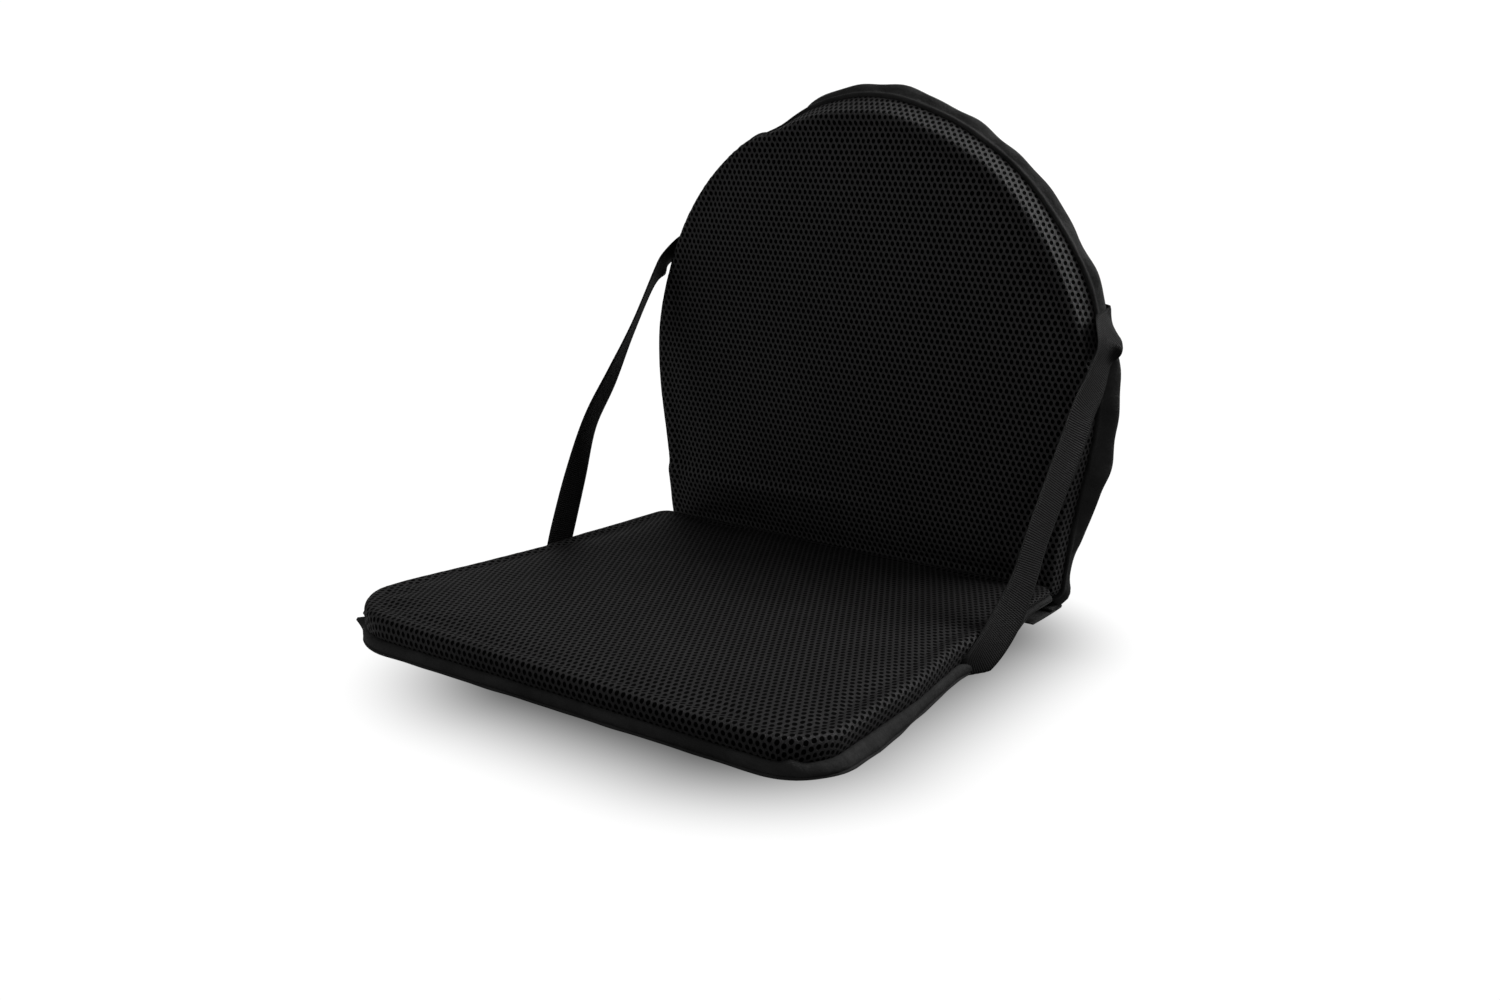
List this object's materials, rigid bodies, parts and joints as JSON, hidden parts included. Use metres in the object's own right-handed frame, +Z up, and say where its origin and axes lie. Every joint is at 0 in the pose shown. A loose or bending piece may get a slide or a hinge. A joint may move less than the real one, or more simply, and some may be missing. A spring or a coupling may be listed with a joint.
{
  "type": "folding padded seat with backrest",
  "caption": "Padded folding seat cushion with a round-topped backrest in black air mesh, held upright by webbing side straps; folds flat on a fabric hinge.",
  "frame": {"origin": "middle of the bounding box in plan, at floor level under the seat", "axes": "+Z up, -Y towards the front edge of the seat, X across the width; mirror-symmetric about X = 0"},
  "size_m": [0.399, 0.3908, 0.38],
  "materials": {
    "seat_base_cloth": "matt plain weave, black",
    "seat_binding_tape": "plain woven tape, black",
    "seat_band_cloth": "matt plain weave, black",
    "seat_board_plastic": "polyethylene stiffener sheet",
    "seat_foam_grey": "closed-cell foam, matt",
    "seat_air_mesh": "3-D air mesh with oval holes, black",
    "back_air_mesh": "3-D air mesh with oval holes, black",
    "back_foam_grey": "closed-cell foam, matt",
    "back_board_plastic": "polyethylene stiffener sheet",
    "back_band_cloth": "matt plain weave, black",
    "back_rim_cloth": "smooth plain cloth, black, slight sheen",
    "back_rear_cloth": "matt plain weave, black",
    "hinge_cloth": "matt plain weave, black",
    "strap_left_webbing": "ribbed polypropylene webbing, black",
    "strap_right_webbing": "ribbed polypropylene webbing, black"
  },
  "bodies": {
    "seat": {"seat_base_panel": "seat_base_cloth", "seat_edge_binding": "seat_binding_tape", "seat_side_band": "seat_band_cloth", "seat_board": "seat_board_plastic", "seat_foam": "seat_foam_grey", "seat_mesh_cover": "seat_air_mesh", "hinge_strip": "hinge_cloth"},
    "back": {"back_mesh_cover": "back_air_mesh", "back_foam": "back_foam_grey", "back_board": "back_board_plastic", "back_side_band": "back_band_cloth", "back_rim_binding": "back_rim_cloth", "back_rear_panel": "back_rear_cloth", "strap_left": "strap_left_webbing", "strap_right": "strap_right_webbing"}
  },
  "joints": [
    {"name": "back_fold", "type": "hinge", "parent": "seat", "child": "back", "pos_m": [0, 0.1631, 0.029], "axis": [1, 0, 0], "range_deg": [0, 88], "deforming": ["strap_left", "strap_right", "hinge_strip"]}
  ]
}
